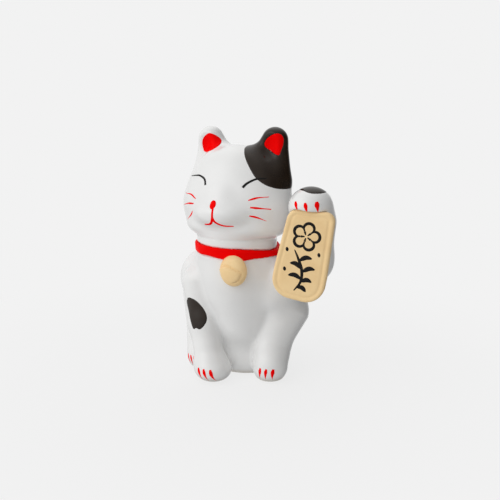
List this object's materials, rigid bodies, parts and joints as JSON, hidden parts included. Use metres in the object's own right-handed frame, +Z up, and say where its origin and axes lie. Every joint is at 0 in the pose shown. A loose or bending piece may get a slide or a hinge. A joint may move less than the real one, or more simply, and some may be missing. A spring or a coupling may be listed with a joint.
{
  "type": "beckoning cat figurine",
  "caption": "Hollow glazed ceramic sitting cat coin bank with one raised forepaw, painted coat patches, red collar with bell, oval gold plaque and a rubber base stopper.",
  "frame": {"origin": "on the table plane under the middle of the neck and chest, inside the foot ring", "axes": "+Z up, the cat faces -Y, +X is the cat's own left, the side of the raised forepaw"},
  "size_m": [0.0979, 0.0714, 0.13],
  "materials": {
    "white_glaze": "gloss white glaze over slip-cast stoneware",
    "red_enamel": "gloss red overglaze enamel",
    "gold_enamel": "satin buff-gold overglaze enamel",
    "black_enamel": "gloss brown-black overglaze enamel",
    "stopper_rubber": "matte moulded rubber"
  },
  "bodies": {
    "figurine": {"torso": "white_glaze", "head": "white_glaze", "raised_arm": "white_glaze", "tail": "white_glaze", "collar": "red_enamel", "bell": "gold_enamel", "koban": "gold_enamel"},
    "stopper": {"base_stopper": "stopper_rubber"}
  },
  "joints": [
    {"name": "stopper_pull", "type": "slide", "parent": "figurine", "child": "stopper", "axis": [0, 0, -1], "range_m": [0, 0.018]}
  ]
}
